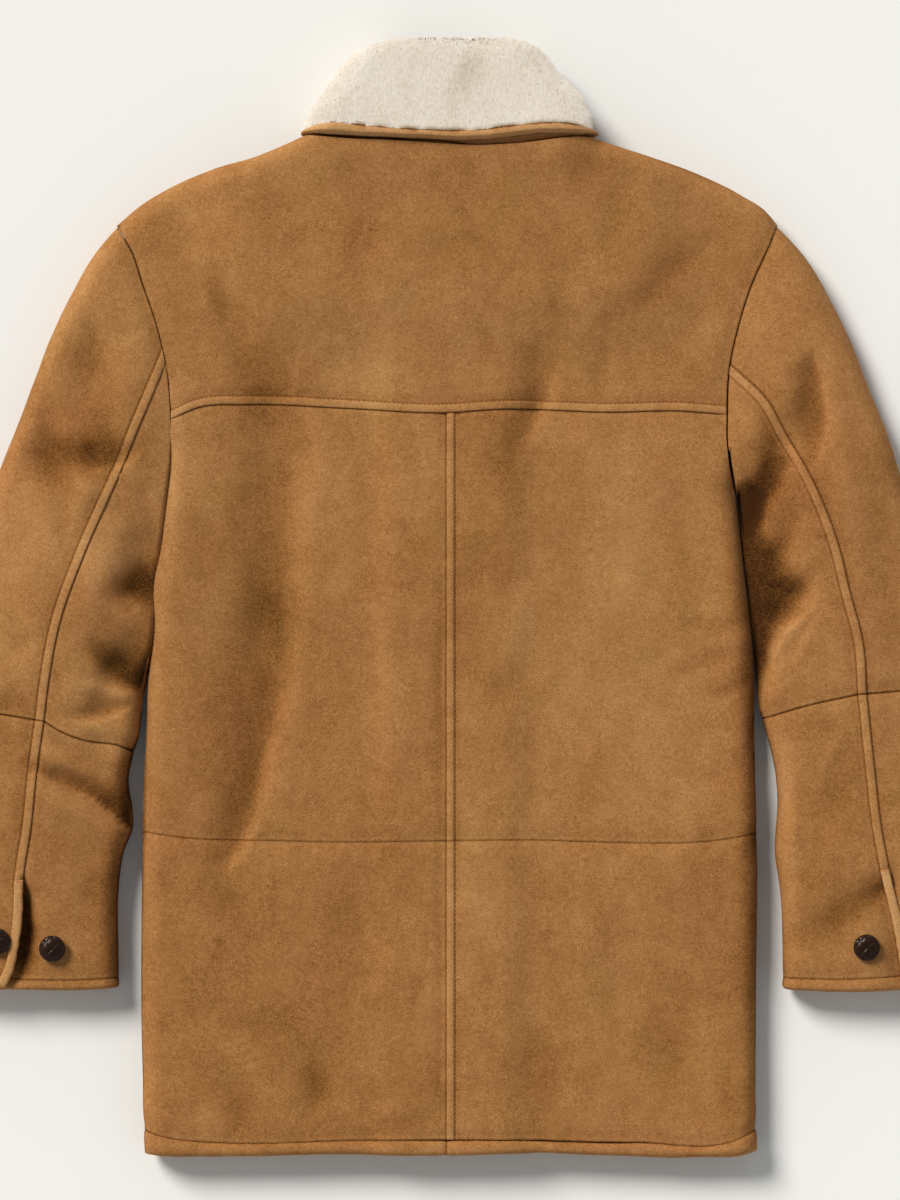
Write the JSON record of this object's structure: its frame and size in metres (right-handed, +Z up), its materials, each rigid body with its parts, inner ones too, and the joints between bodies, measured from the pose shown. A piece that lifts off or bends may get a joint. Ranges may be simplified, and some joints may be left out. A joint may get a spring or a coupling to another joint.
{
  "type": "shearling coat",
  "caption": "Hip-length suede shearling coat with a turned-down fur collar, lying flat on its front; pieces follow the cut of yoke, back, fronts and sleeves.",
  "frame": {"origin": "centre of the coat's footprint, on the surface that it lies on", "axes": "+Y from the hem towards the collar, +Z up from the surface through the fronts to the back, the wearer's left at -X"},
  "size_m": [0.8604, 0.9153, 0.055],
  "materials": {
    "suede": "napped tan suede, matt",
    "fleece": "short cream fur pile",
    "button_leather": "woven dark leather, glossy"
  },
  "bodies": {
    "root": {"yoke_back": "suede", "back_upper_left": "suede", "back_upper_right": "suede", "back_lower_left": "suede", "back_lower_right": "suede", "hem_band_back_left": "suede", "hem_band_back_right": "suede", "front_left": "suede", "front_right": "suede", "hem_band_front_left": "suede", "hem_band_front_right": "suede", "sleeve_left_top_upper": "suede", "sleeve_left_top_lower": "suede", "sleeve_left_under_upper": "suede", "sleeve_left_under_lower": "suede", "sleeve_right_top_upper": "suede", "sleeve_right_top_lower": "suede", "sleeve_right_under_upper": "suede", "sleeve_right_under_lower": "suede", "cuff_band_left": "suede", "cuff_band_right": "suede", "cuff_placket_left": "suede", "cuff_placket_right": "suede", "cuff_button_left_spare": "button_leather", "cuff_button_left_flap": "button_leather", "cuff_button_right_spare": "button_leather", "cuff_button_right_flap": "button_leather", "collar": "fleece", "collar_binding": "suede", "front_button_1": "button_leather", "front_button_2": "button_leather", "front_button_3": "button_leather", "front_button_4": "button_leather"}
  },
  "joints": []
}
